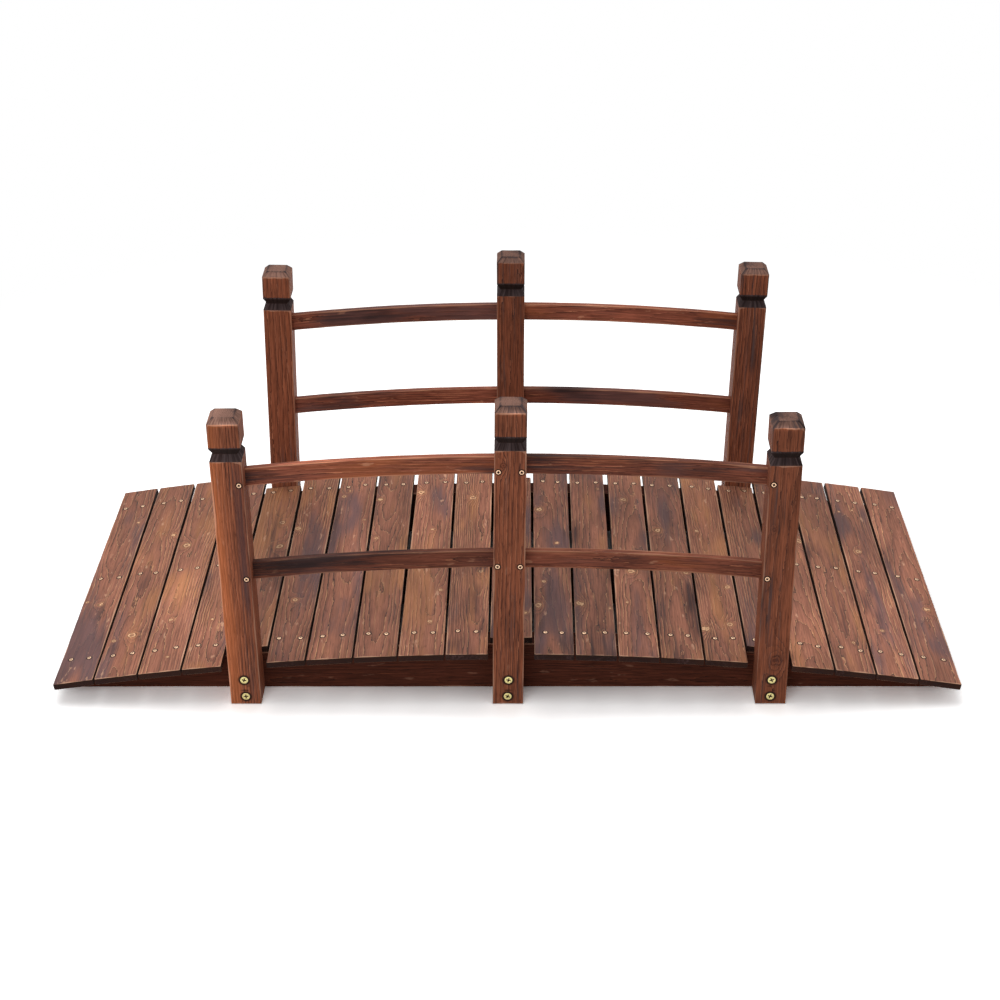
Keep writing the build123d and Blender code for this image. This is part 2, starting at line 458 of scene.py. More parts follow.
def wood_look(slot, palette):
    """The material of scorched and brushed fir, by the fields that a timber carries."""
    shader = Shader(bpy.data.materials.new(slot))
    math_, step, mix = shader.math, shader.step, shader.mix

    def total(first, *others):
        """The sum of those values."""
        for other in others:
            first = math_("ADD", first, other)
        return first

    def swing(noise, amount, middle=0.5):
        """A noise that swings round 0, over that amount in all."""
        return math_("MULTIPLY", math_("SUBTRACT", noise, middle), amount)

    local = shader.field("local")[0]
    _, rings, edge, end_grain_and_shaded_flanks = shader.field("field")
    knot = shader.field("knot")
    head = shader.field("metal")
    _, light, grey, scorch_and_shade = shader.field("tone")
    pace = shader.field("grain")[1]
    streak = shader.noise(local, STREAK, 4.0, 0.6)
    fibre = shader.noise(local, FIBRE, 3.0, 0.6)
    cloud = shader.noise(local, CLOUD)
    speck = shader.noise(local, SPECK)
    zigzag = shader.noise(local, ZIGZAG, 1.0)

    # Each ring ends in a thin dark line, with a pale one after it. Both are set by their width
    # in millimetres, and broad rings show them most.
    ragged = total(swing(streak, 0.4), swing(fibre, 0.3), swing(zigzag, 0.3))
    phase = math_("FRACT", math_("ADD", rings, ragged))
    before = math_("MULTIPLY", math_("SUBTRACT", 1.0, phase), pace)
    after = math_("MULTIPLY", phase, pace)
    dense = step(before, 0.3, palette["line"], 1.0, 0.0)
    dense = math_("MAXIMUM", dense, step(phase, 0.35, 1.0, 0.0, 0.3))
    broken = step(fibre, 0.4, 0.56, 0.15, 1.0)
    fresh = math_("MULTIPLY", step(after, 0.3, 1.8, 0.85, 0.0), broken)
    flame = step(pace, 5.0, 12.0, 0.0, palette["flame"])
    strength = math_("ADD", step(cloud, 0.4, 0.6, palette["faint"], 1.0), flame, True)
    lines = math_("MULTIPLY", dense, strength)
    base = mix(math_("MULTIPLY", fresh, strength), palette["early"], palette["pale"])
    base = mix(lines, base, palette["late"])

    # Streaks along the grain, thin cracks and single fibres
    base = mix(step(streak, 0.3, 0.46, 0.5, 0.0), base, palette["streak"])
    base = mix(step(streak, 0.56, 0.72, 0.0, 0.4), base, palette["pale"])
    off_hair = math_("ABSOLUTE", math_("SUBTRACT", shader.noise(local, HAIR), 0.5))
    base = mix(step(off_hair, 0.004, 0.022, palette["hair"], 0.0), base, palette["late"])
    fibres = step(fibre, 0.3, 0.7, *palette["fibres"])
    base = mix(1.0, base, shader.grey(fibres), "MULTIPLY")

    # Weathered grey, or the golden wood of places that the flame only touched
    turned = math_("ADD", grey, math_("SUBTRACT", streak, 0.5))
    base = mix(step(turned, 0.0, 0.8, 0.0, 0.8), base, palette["grey"])
    base = mix(step(turned, -1.0, -0.3, 0.5, 0.0), base, palette["gold"])

    # Pale scuffs
    scuffed = step(shader.noise(local, SCUFF, 3.0), 0.66, 0.74)
    base = mix(math_("MULTIPLY", scuffed, palette["scuffs"]), base, palette["worn"])

    # Knots: a brown heart in a pale ring, with a thin dark rim
    away = total(shader.length(knot, 0.5), swing(speck, 0.9), swing(zigzag, 1.6))
    base = mix(step(away, 1.0, 2.2, 0.55, 0.0), base, palette["halo"])
    base = mix(step(away, 1.25, 1.0, 0.0, 0.75), base, palette["rim"])
    base = mix(step(away, 1.0, 0.8, 0.0, 1.0), base, palette["knot_pale"])
    base = mix(step(away, 0.55, 0.35, 0.0, 0.8), base, palette["knot_dark"])

    # Worn arrises
    rubbed = total(edge, swing(cloud, 9.0, 0.45))
    base = mix(step(rubbed, *palette["rubbed"], palette["wear"], 0.0), base, palette["worn"])

    # End grain drinks more stain and shows its pores. A deck board's flanks in the joints take
    # these dark colours too, as painted shade.
    end_and_shade_colour = mix(lines, palette["end_and_shade_early"], palette["end_and_shade_late"])
    end_and_shade_colour = mix(step(speck, 0.3, 0.65, 0.5, 0.0), end_and_shade_colour, palette["end_and_shade_late"])
    base = mix(step(end_grain_and_shaded_flanks, *palette["turn"], 0.0, 0.96), base, end_and_shade_colour)

    # Scorch follows the streaks, with ash on it and soot where it is deepest. On a post's neck the
    # deepest of it is painted shade in the groove under the cap.
    burn_and_shade = total(scorch_and_shade, swing(streak, 1.8), math_("MULTIPLY", lines, 0.12))
    burnt_and_shaded = step(burn_and_shade, 0.1, 0.9, 0.0, 0.94)
    char_and_shade = mix(step(streak, 0.35, 0.7), palette["burnt_and_shaded"], palette["ash"])
    char_and_shade = mix(step(burn_and_shade, 1.7, 2.3, 0.0, 0.85), char_and_shade, palette["soot_and_shade"])
    base = mix(burnt_and_shaded, base, char_and_shade)

    # A dark ring in the wood round the heads of nails and screws
    base = mix(step(shader.length(head, 0.75), 1.2, 1.8, 0.95, 0.0), base, palette["head_ring"])

    level = math_("POWER", 2.0, light)
    base = mix(1.0, base, shader.grey(level), "MULTIPLY")
    shader.feed(shader.surface("Base Color"), base)

    rough = total(step(lines, 0.0, 1.0, 0.64, 0.5), math_("MULTIPLY", burnt_and_shaded, 0.15),
                  step(end_grain_and_shaded_flanks, *palette["turn"], 0.0, 0.3))
    shader.feed(shader.surface("Roughness"), rough)
    height = total(math_("MULTIPLY", lines, 0.6), math_("MULTIPLY", fibre, 0.4),
                   math_("MULTIPLY", streak, 0.7))
    bump = {"Height": height, "Strength": 0.7, "Distance": 0.9 * MM}
    shader.feed(shader.surface("Normal"), shader.add("Bump", bump))
    shader.feed(shader.surface("Specular IOR Level"), palette["gloss"])
    return shader.owner


# The colours of the wood. early and late are a growth ring's soft wood and its dark line, pale
# the line after it, streak and grey what weather leaves, gold what the flame only touched, worn
# the bare wood of arrises and scuffs, halo, rim, knot_pale and knot_dark a knot from outside in,
# head_ring the dark ring in the wood round a head, end_and_shade_early and end_and_shade_late
# the end grain and, on deck boards, the painted shade of the flanks in the joints, and
# burnt_and_shaded, ash and soot_and_shade the scorch, whose deepest black on a post's neck is
# painted shade in the groove under the cap.
# Shares of 1: faint is the strength of the lines where they are faintest, flame what broad
# rings add to it, hair, wear and scuffs are those of the cracks, the arrises and the scuffs.
# line is the width of the dark line and rubbed the range where an arris's wear ends, both in
# millimetres. fibres is the range of the fibres' lightness, turn the one over which a face
# turns into end grain, and gloss the specular level.
DECK = {
    "early": colour(163, 106, 84), "late": colour(58, 31, 25), "streak": colour(88, 56, 49),
    "pale": colour(210, 156, 114), "grey": colour(96, 73, 76), "gold": colour(198, 134, 86),
    "worn": colour(222, 172, 140), "halo": colour(190, 130, 92), "rim": colour(66, 36, 28),
    "knot_pale": colour(236, 186, 142), "knot_dark": colour(136, 84, 60),
    "head_ring": colour(34, 18, 15),
    "end_and_shade_early": colour(42, 17, 12), "end_and_shade_late": colour(16, 6, 4), "burnt_and_shaded": colour(46, 29, 29),
    "ash": colour(84, 60, 58), "soot_and_shade": colour(14, 9, 9),
    "faint": 0.35, "flame": 0.9, "line": 1.8, "hair": 0.3, "wear": 0.75, "rubbed": (0.8, 2.4),
    "fibres": (0.77, 1.2), "scuffs": 0.55, "turn": (0.2, 0.45), "gloss": 0.22,
}
POST = {
    "early": colour(150, 86, 60), "late": colour(56, 26, 21), "streak": colour(74, 39, 33),
    "pale": colour(178, 112, 82), "grey": colour(86, 58, 57), "gold": colour(168, 94, 54),
    "worn": colour(222, 168, 140), "halo": colour(122, 68, 48), "rim": colour(40, 20, 16),
    "knot_pale": colour(132, 74, 52), "knot_dark": colour(84, 44, 32),
    "end_and_shade_early": colour(150, 114, 100), "end_and_shade_late": colour(84, 58, 52), "burnt_and_shaded": colour(36, 29, 31),
    "ash": colour(84, 71, 72), "soot_and_shade": colour(12, 9, 9),
    "head_ring": colour(24, 13, 11),
    "faint": 0.6, "flame": 0.0, "line": 1.6, "hair": 0.4, "wear": 0.45, "rubbed": (1.0, 2.8),
    "fibres": (0.6, 1.32), "scuffs": 0.12, "turn": (0.35, 0.6), "gloss": 0.12,
}
RAIL = {
    **POST, "early": colour(132, 74, 56), "late": colour(68, 34, 27), "grey": colour(98, 69, 66),
    "burnt_and_shaded": colour(32, 24, 25), "ash": colour(62, 46, 46), "worn": colour(204, 146, 114),
    "faint": 0.35, "wear": 0.45, "scuffs": 0.4,
}
STRINGER = {
    **POST, "early": colour(82, 42, 30), "late": colour(48, 24, 19), "pale": colour(104, 56, 38),
    "streak": colour(56, 29, 23), "end_and_shade_early": colour(52, 30, 24), "end_and_shade_late": colour(22, 14, 12),
    "faint": 0.2, "wear": 0.25, "gloss": 0.06,
}
GRIME = colour(34, 24, 20)


def metal_look(name, shade, roughness):
    """The material of plated steel with faint scuffs, and grime in the hollows of its heads."""
    shader = Shader(bpy.data.materials.new(name))
    grime = shader.field("grime")[1]
    scuff = shader.noise(shader.add("TexCoord", {}, "Object"), METAL_SCUFF, 3.0)
    dull = tuple(0.5 * part for part in shade[:3]) + (1.0,)
    plated = shader.mix(shader.step(scuff, 0.35, 0.7), shade, dull)
    shader.feed(shader.surface("Base Color"), shader.mix(grime, plated, GRIME))
    rough = shader.step(scuff, 0.3, 0.7, roughness, roughness + 0.2)
    shader.feed(shader.surface("Roughness"), shader.math("ADD", rough, grime, True))
    shader.feed(shader.surface("Metallic"), shader.math("SUBTRACT", 1.0, grime, True))
    return shader.owner


materials = {
    "deck_board": wood_look("deck_board", DECK),
    "post_wood": wood_look("post_wood", POST),
    "rail_wood": wood_look("rail_wood", RAIL),
    "stringer_wood": wood_look("stringer_wood", STRINGER),
    "nail": metal_look("nail", colour(250, 208, 172), 0.35),
    "zinc": metal_look("zinc", colour(230, 216, 150), 0.3),
}


# The pieces of wood

# Where the heads of the fasteners go, noted by the pieces that they hold
deck_nails, rail_screws, foot_screws = [], [], []


def points_of(node):
    """The CAD node's points."""
    return np.array([vertex.co for vertex in nodes[node].data.vertices])


def upward(node):
    """The direction of the node's largest face that looks up."""
    faces = nodes[node].data.polygons
    return np.array(max(faces, key=lambda face: face.area * (face.normal.z > LOOKS_UP)).normal)


def fir(seed, **changes):
    """The description of one piece of wood, with what its kind or its place changes.

    pith is where the tree's middle lies across the piece and slope how it runs off along u, ring
    the width of a growth ring, drift and wavy how far the rings wander slowly and quickly, arris
    the rounding of the arrises and brushed the depth of the brushed rings. knots and metal list
    places along u and v and radii, ridges further worn edges along u. End grain faces along
    dark, or across it with dark_flanks, which on a deck board also gives the flanks in the joints
    the dark colours of end grain as painted shade. show is the side of w where metal shows. tone
    is the lightness, greyness and scorch of it all, the scorch holding painted shade on a post's
    neck, and patchy how much each of them varies. stains list a channel of the tone, middle,
    spread and amount, charred a start and an end along u and the scorch between them,
    which on a post's neck is partly painted shade."""
    draw = np.random.default_rng(seed)
    piece = {
        "seed": seed,
        "pith": (draw.uniform(-14, 14) * MM, -draw.uniform(14, 45) * MM),
        "slope": (draw.uniform(-0.012, 0.012), draw.choice([-1, 1]) * draw.uniform(0.008, 0.03)),
        "ring": draw.uniform(3.0, 4.8) * MM,
        "drift": 6.0 * MM,
        "wavy": draw.uniform(1.0, 3.0) * MM,
        "arris": 1.0 * MM,
        "brushed": 0.16 * MM,
        "knots": [],
        "metal": [],
        "ridges": [],
        "charred": [],
        "dark": (1, 0, 0),
        "dark_flanks": False,
        "show": 1,
        "tone": (draw.uniform(-0.25, 0.25), draw.uniform(-0.45, 0.3), draw.uniform(-0.3, 0.05)),
        "patchy": (0.55, 1.1, 0.8),
        "stains": [],
    }
    piece.update(changes)
    return piece


# Stains that stand out on single deck boards, with u from the near end
DECK_STAINS = {
    1: [(SCORCH_AND_SHADE, (0.25, 0.01, 0), (0.2, 0.02, 1), 0.3),
        (GREY, (0.4, -0.01, 0), (0.1, 0.03, 1), -0.5), (GREY, (0.12, 0, 0), (0.14, 0.05, 1), 0.7),
        (LIGHT, (0.1, 0, 0), (0.12, 1, 1), -0.2)],
    2: [(SCORCH_AND_SHADE, (0.4, 0, 0), (0.2, 0.016, 1), 0.35),
        (GREY, (0.22, 0.02, 0), (0.12, 0.02, 1), -0.9),
        (GREY, (0.08, -0.02, 0), (0.12, 0.02, 1), 0.8)],
    3: [(GREY, (0.3, 0, 0), (0.4, 0.05, 1), -0.65), (LIGHT, (0.3, 0, 0), (0.4, 0.05, 1), 0.2)],
    4: [(GREY, (0.2, -0.01, 0), (0.2, 0.03, 1), -0.5), (GREY, (0, 0, 0), (0.04, 0.05, 1), -0.8)],
    6: [(GREY, (0.6, 0, 0), (0.08, 0.05, 1), -0.8), (GREY, (0.3, 0, 0), (0.1, 0.02, 1), 0.4)],
    7: [(GREY, (0.5, 0.01, 0), (0.1, 0.03, 1), 0.6), (GREY, (0.02, 0, 0), (0.04, 0.05, 1), -0.8)],
    8: [(SCORCH_AND_SHADE, (0.2, 0.01, 0), (0.18, 0.02, 1), 0.3), (GREY, (0.08, 0, 0), (0.12, 0.03, 1), 0.7)],
    9: [(GREY, (0.5, 0, 0), (0.15, 0.04, 1), 0.7)],
    10: [(SCORCH_AND_SHADE, (0.12, 0, 0), (0.2, 0.03, 1), 0.3)],
    12: [(GREY, (0.12, 0, 0), (0.15, 0.05, 1), 0.3)],
    13: [(SCORCH_AND_SHADE, (0.3, -0.01, 0), (0.2, 0.02, 1), 0.15),
         (GREY, (0.3, 0, 0), (0.3, 0.05, 1), -0.5)],
    15: [(SCORCH_AND_SHADE, (0.15, 0.01, 0), (0.2, 0.03, 1), 0.25),
         (GREY, (0.5, 0, 0), (0.15, 0.05, 1), 0.5)],
    19: [(GREY, (0.35, 0, 0), (0.25, 0.03, 1), -0.15)],
    20: [(SCORCH_AND_SHADE, (0.25, -0.015, 0), (0.2, 0.015, 1), 0.3)],
    21: [(LIGHT, (0.5, 0, 0), (0.25, 1, 1), 0.3), (GREY, (0.5, 0, 0), (0.25, 0.03, 1), -0.7),
         (SCORCH_AND_SHADE, (0, 0, 0), (0.04, 0.05, 1), 0.3)],
}


# Boards between the posts are darker in their near part, the others lighter. Some boards to the
# right are darker in their far part.
BETWEEN_POSTS = range(5, 18)
DARK_FAR_PART = range(14, 21)


def plank(number):
    """One deck board, and a note of its nails."""
    node = f"plank_{number:02d}"
    points = points_of(node)
    normal = upward(node)
    across = np.array([normal[2], 0, -normal[0]])
    along, side, up = points[:, 1], points @ across, points @ normal
    start, end = along.min(), along.max()
    near, far = side[along < start + TOUCH], side[along > end - TOUCH]
    left = np.array([near.min(), far.min()])
    right = np.array([near.max(), far.max()])
    size = (end - start, (right - left).mean(), up.max() - up.min())
    middle_up = (up.max() + up.min()) / 2

    def place(local):
        share = local[:, 0] / size[0]
        low = left[0] + (left[1] - left[0]) * share
        high = right[0] + (right[1] - right[0]) * share
        sideways = (low + high) / 2 + local[:, 1] * (high - low) / size[1]
        placed = np.outer(sideways, across) + np.outer(middle_up + local[:, 2], normal)
        placed[:, 1] = start + local[:, 0]
        return placed

    draw = np.random.default_rng(NAIL_SEED + number)
    turn = Vector(normal).to_track_quat("Z", "Y").to_matrix().to_4x4()
    driven = []
    for stringer in ("near", "middle", "far"):
        low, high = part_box(f"stringer_{stringer}")
        row = (low.y + high.y) / 2
        for sign in (-1, 1):
            u = row - start + draw.uniform(-1, 1) * NAIL_SCATTER
            v = sign * NAIL_SPREAD + draw.uniform(-1, 1) * NAIL_SCATTER
            driven.append((u, v, NAIL_HEAD))
            tip = Matrix.Rotation(math.radians(draw.uniform(-NAIL_TILT, NAIL_TILT)), 4, "X")
            spot = place(np.array([[u, v, size[2] / 2]]))[0]
            deck_nails.append(Matrix.Translation(spot) @ turn @ tip)
    knots = []
    for _ in range(draw.integers(*KNOT_COUNT)):
        u = draw.uniform(KNOT_MARGIN, size[0] - KNOT_MARGIN)
        v = draw.uniform(-KNOT_REACH, KNOT_REACH) * size[1] / 2
        radius = draw.choice(KNOT_RADII) * MM
        room = KNOT_SPACING * radius
        if all(math.hypot(u - at_u, v - at_v) > room for at_u, at_v, _ in knots + driven):
            knots.append((u, v, radius))
    near_part = (LIGHT, (0.17, 0, 0), (0.26, 1, 1), -0.3 if number in BETWEEN_POSTS else 0.3)
    far_part = (LIGHT, (0.5, 0, 0), (0.2, 1, 1), -0.35 if number in DARK_FAR_PART else 0)
    board = fir(number, metal=driven, knots=knots, dark=normal, dark_flanks=True, arris=2.0 * MM,
                stains=[near_part, far_part, *DECK_STAINS.get(number, ())])
    timber(node, "deck_board", size, PLANK_STEPS, place, board)


def neck_inset(from_top):
    """How far a post's faces stand back at a distance from its top."""
    return np.interp(from_top, [0, *BENDS], [CAP_CHAMFER, 0, 0, NECK_DEPTH, 0])


# The bay or bays whose rails end in a post, and the way that they run from it
BAYS = {"left": [("left", 1)], "middle": [("left", -1), ("right", 1)], "right": [("right", -1)]}

# What sets each post apart, with u from the foot
POST_LOOKS = {
    ("near", "left"): {
        "pith": (-0.085, 0.01), "tone": (0.1, -0.4, -0.15), "patchy": (0.2, 0.3, 0.3),
        "stains": [(LIGHT, (0.25, -0.025, 0), (0.35, 0.02, 1), 0.85),
                   (GREY, (0.25, -0.025, 0), (0.35, 0.02, 1), -0.7),
                   (SCORCH_AND_SHADE, (0.3, 0.014, 0), (0.2, 0.011, 1), 0.25),
                   (GREY, (0.3, 0.016, 0), (0.25, 0.013, 1), 1.1),
                   (LIGHT, (0.3, 0.016, 0), (0.25, 0.013, 1), -0.1),
                   (SCORCH_AND_SHADE, (0.05, 0.008, 0), (0.09, 0.025, 1), 0.4)]},
    ("near", "middle"): {
        "pith": (0.07, 0.06), "tone": (0, -0.2, 0), "patchy": (0.25, 0.4, 0.35),
        "knots": [(0.4445, -0.011, 0.0045)],
        "stains": [(SCORCH_AND_SHADE, (0.1, 0.012, 0), (0.12, 0.015, 1), 0.35),
                   (SCORCH_AND_SHADE, (0.539, 0, -0.03), (0.004, 1, 0.02), 0.35)]},
    ("near", "right"): {
        "pith": (0.03, 0.1), "tone": (-0.1, -0.15, 0.05), "patchy": (0.25, 0.4, 0.35),
        "knots": [(0.085, 0.005, 0.008), (0.33, -0.012, 0.003)],
        "stains": [(SCORCH_AND_SHADE, (0.3, -0.012, 0), (0.12, 0.012, 1), 0.4),
                   (SCORCH_AND_SHADE, (0.511, 0, 0), (0.005, 1, 1), 0.5)]},
    ("far", "left"): {
        "pith": (-0.06, 0.09), "tone": (0.05, -0.35, 0), "patchy": (0.25, 0.4, 0.3),
        "stains": [(SCORCH_AND_SHADE, (0.12, 0, 0), (0.08, 0.05, 1), 0.3)]},
    ("far", "middle"): {
        "pith": (0.02, 0.1), "tone": (-0.35, -0.1, 0.15), "patchy": (0.25, 0.4, 0.35),
        "stains": []},
    ("far", "right"): {
        "pith": (0.08, 0.05), "tone": (-0.15, 0, 0.1), "patchy": (0.25, 0.4, 0.4),
        "stains": [(SCORCH_AND_SHADE, (0.35, 0.01, 0), (0.1, 0.02, 1), 0.35)]},
}


def cap_stains(length, outward, draw):
    """A darker front, a scorched patch on top and by the rim, a pale chipped rim and blackened
    edges of a post's cap."""
    rim, half = length - CAP_CHAMFER, POST_WIDTH / 2
    front = outward * half
    found = [
        (LIGHT, (rim - 20 * MM, 0, front), (24 * MM, 1, 8 * MM), -0.3),
        (SCORCH_AND_SHADE, (length, draw.choice([-1, 1]) * 0.02, 0.014), (8 * MM, 0.02, 0.02), 0.4),
        (SCORCH_AND_SHADE, (rim + 2.5 * MM, draw.uniform(-0.01, 0.01), front), (2 * MM, 0.012, 0.006), 0.7),
        (LIGHT, (rim, draw.uniform(-0.01, 0.01), front), (1.5 * MM, 0.02, 0.006), 1.3),
        (GREY, (rim, 0, front), (1.5 * MM, 0.02, 0.006), -1)]
    for edge in (-half, half):
        found += [
            (SCORCH_AND_SHADE, (length, edge, 0), (2 * MM, 3 * MM, 1), 0.55),
            (SCORCH_AND_SHADE, (length, 0, edge), (2 * MM, 1, 3 * MM), 0.55),
            (SCORCH_AND_SHADE, (rim, edge, -half), (30 * MM, 3 * MM, 3 * MM), 0.5),
            (SCORCH_AND_SHADE, (rim, edge, half), (30 * MM, 3 * MM, 3 * MM), 0.5)]
    return found


def post(side, place_name, seed):
    """One post with its neck and cap, and a note of its screws."""
    node = f"post_{side}_{place_name}"
    points = points_of(node)
    axis = upward(node)
    across = np.array([axis[2], 0, -axis[0]])
    heights = points @ axis
    top = points[heights > heights.max() - TOUCH].mean(axis=0)
    foot = top - axis * top[2] / axis[2]
    length = np.linalg.norm(top - foot)
    outward = -1 if side == "near" else 1
    draw = np.random.default_rng(SCREW_SEED + seed)

    def place(local):
        scale = 1 - neck_inset(length - local[:, 0]) / (POST_WIDTH / 2)
        v, w = local[:, 1] * scale, local[:, 2] * scale
        placed = foot + np.outer(local[:, 0], axis) + np.outer(v, across)
        placed[:, 1] += w
        placed[:, 2] -= v * across[2] * np.clip(1 - local[:, 0] / FOOT_BLEND, 0, 1)
        return placed

    def drive(height, sideways, radius, heads):
        """Notes a screw in the outer face and returns its place for the wood."""
        u = height / axis[2]
        v = sideways + draw.uniform(-1, 1) * SCREW_SCATTER
        spot = place(np.array([[u, v, outward * POST_WIDTH / 2]]))[0]
        turn = Matrix.Rotation(math.radians(-90 * outward), 4, "X")
        spin = Matrix.Rotation(draw.uniform(0, math.pi), 4, "Z")
        heads.append(Matrix.Translation(spot) @ turn @ spin)
        return (u, v, radius)

    driven = [drive(height, 0, FOOT_SCREW_HEAD, foot_screws) for height in FOOT_SCREW_HEIGHTS]
    for bay, towards in BAYS[place_name]:
        for level in ("upper", "lower"):
            low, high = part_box(f"rail_{side}_{bay}_{level}")
            at_crown = high.z - RAIL_DEPTH / 2
            height = at_crown if place_name == "middle" else low.z + RAIL_DEPTH / 2
            driven.append(drive(height, towards * RAIL_SCREW_OFFSET, RAIL_SCREW_HEAD, rail_screws))
    on_cap = cap_stains(length, outward, draw)
    rim, neck_top, neck_middle, neck_foot = marks = [length - bend for bend in BENDS]
    # The neck is charred, and the char reaches onto the cap's lower arris. The second band scorches
    # the neck's upper bevel, which faces down into the groove under the cap, to soot black. Both
    # are partly painted shade in the groove.
    bar = fir(seed, show=outward, slope=(0.004, 0.006), metal=driven, dark=axis,
              ridges=[rim, neck_foot], ring=4.6 * MM, drift=2.5 * MM, wavy=0.5 * MM,
              charred=[(neck_foot - 0.5 * MM, neck_top + 1.2 * MM, 1.2),
                       (neck_middle - 0.5 * MM, neck_top, 1.2)])
    bar.update(POST_LOOKS[side, place_name])
    bar["stains"] = on_cap + bar["stains"]
    size = (length, POST_WIDTH, POST_WIDTH)
    timber(node, "post_wood", size, POST_STEPS, place, bar, marks=marks)


# What sets single rails apart. u counts from the left end, v from the middle of the depth.
RAIL_LOOKS = {
    "rail_far_left_upper": {
        "tone": (0.1, 0.35, -0.1),
        "stains": [(GREY, (0.4, 0, 0), (0.12, 1, 1), 0.5),
                   (SCORCH_AND_SHADE, (0.33, 0, 0), (0.14, 1, 1), 0.3)]},
    "rail_near_left_upper": {
        "tone": (0.45, -0.45, -0.2),
        "stains": [(SCORCH_AND_SHADE, (0, 0, 0), (0.07, 1, 1), 0.7),
                   (SCORCH_AND_SHADE, (0.42, 0, 0), (0.05, 1, 1), 0.35),
                   (LIGHT, (0.2, 0.0155, 0), (0.16, 0.004, 1), 0.4),
                   (GREY, (0.24, 0, 0), (0.09, 1, 1), -0.5)]},
    "rail_near_right_upper": {
        "tone": (0, 0.1, 0),
        "stains": [(SCORCH_AND_SHADE, (0.04, 0, 0), (0.1, 1, 1), 0.5)]},
    "rail_near_left_lower": {
        "tone": (-0.2, 0.1, 0),
        "stains": [(SCORCH_AND_SHADE, (0.08, 0.006, 0), (0.17, 0.014, 1), 0.75)]},
    "rail_near_right_lower": {
        "tone": (0, -0.3, 0),
        "stains": [(SCORCH_AND_SHADE, (0.4, 0, 0), (0.06, 1, 1), 0.5)]},
    "rail_far_left_lower": {
        "tone": (0.35, 0.35, -0.1),
        "stains": [(SCORCH_AND_SHADE, (0.03, 0, 0), (0.08, 1, 1), 0.2),
                   (GREY, (0.35, 0, 0), (0.1, 1, 1), -0.7)]},
    "rail_far_right_lower": {
        "tone": (0.1, 0.1, -0.05),
        "stains": [(SCORCH_AND_SHADE, (0.06, 0, 0), (0.12, 1, 1), 0.5)]},
    "rail_far_right_upper": {
        "tone": (0.35, -0.2, -0.1),
        "stains": [(SCORCH_AND_SHADE, (0.4, 0, 0), (0.06, 1, 1), 0.4)]},
}


def rail(node, seed):
    """One arched rail, whose grain runs straight through the arch."""
    low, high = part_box(node)
    nearest_x = min(low.x, high.x, key=lambda x: abs(x - ROW_SHIFT))
    centre = high.z - math.sqrt(RAIL_RADIUS ** 2 - (nearest_x - ROW_SHIFT) ** 2)
    middle_y = (low.y + high.y) / 2
    middle_z = (low.z + high.z) / 2

    def place(local):
        x = low.x + local[:, 0]
        upper = centre + np.sqrt(RAIL_RADIUS ** 2 - (x - ROW_SHIFT) ** 2)
        lower = centre + np.sqrt((RAIL_RADIUS - RAIL_DEPTH) ** 2 - (x - ROW_SHIFT) ** 2)
        z = (upper + lower) / 2 + local[:, 1] * (upper - lower) / RAIL_DEPTH
        return np.column_stack([x, middle_y + local[:, 2], z])

    def straighten(local):
        return np.column_stack([local[:, 0], place(local)[:, 2] - middle_z, local[:, 2]])

    size = (high.x - low.x, RAIL_DEPTH, high.y - low.y)
    bar = fir(seed, slope=(0.0, 0.01), ring=4.0 * MM, drift=3.0 * MM, wavy=0.7 * MM)
    bar.update(RAIL_LOOKS.get(node, {}))
    timber(node, "rail_wood", size, RAIL_STEPS, place, bar, straighten)


def stringer(node, seed):
    """One board on edge under the deck, with a flat bottom and an arched top."""
    points = points_of(node)
    low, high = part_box(node)
    end_height = points[points[:, 0] < low.x + TOUCH][:, 2].max()
    half_chord, rise = (high.x - low.x) / 2, high.z - end_height
    radius = (half_chord ** 2 + rise ** 2) / (2 * rise)
    middle_x = (low.x + high.x) / 2
    middle_y = (low.y + high.y) / 2

    def place(local):
        x = low.x + local[:, 0]
        top = high.z - radius + np.sqrt(radius ** 2 - (x - middle_x) ** 2)
        return np.column_stack([x, middle_y + local[:, 2], (local[:, 1] / high.z + 0.5) * top])

    def straighten(local):
        return np.column_stack([local[:, 0], place(local)[:, 2], local[:, 2]])

    size = (high.x - low.x, high.z, high.y - low.y)
    bar = fir(seed, slope=(0.0, 0.008), wavy=1.2 * MM, tone=(0.2, -0.1, -0.2),
              patchy=(0.3, 0.3, 0.2))
    timber(node, "stringer_wood", size, STRINGER_STEPS, place, bar, straighten)


def named(kind):
    """The nodes of that kind, in order."""
    return sorted(name for name in nodes if name.startswith(kind))


for number in range(1, DECK_BOARDS + 1):
    plank(number)
for seed, (side, place_name) in enumerate(POST_LOOKS, POST_SEED):
    post(side, place_name, seed)
for seed, node in enumerate(named("rail"), RAIL_SEED):
    rail(node, seed)
for seed, node in enumerate(named("stringer"), STRINGER_SEED):
    stringer(node, seed)


# Fasteners

def turned(profile, segments):
    """Points, faces and grime of a closed solid of revolution about Z.
    The profile lists radius, height and grime, from the middle of the top outwards and down.
    A radius may be a function of the angle."""
    points, faces, grime = [], [], []
    for radius, height, dirt in profile:
        for step in range(segments):
            angle = 2 * math.pi * step / segments
            reach = radius(angle) if callable(radius) else radius
            points.append((reach * math.cos(angle), reach * math.sin(angle), height))
            grime.append(dirt)
    for ring in range(len(profile) - 1):
        for step in range(segments):
            after = (step + 1) % segments
            one, two = ring * segments, (ring + 1) * segments
            faces.append((one + step, two + step, two + after, one + after))
    faces.append(tuple(range(segments)))
    faces.append(tuple(reversed(range((len(profile) - 1) * segments, len(profile) * segments))))
    return np.array(points), faces, np.array(grime, float)


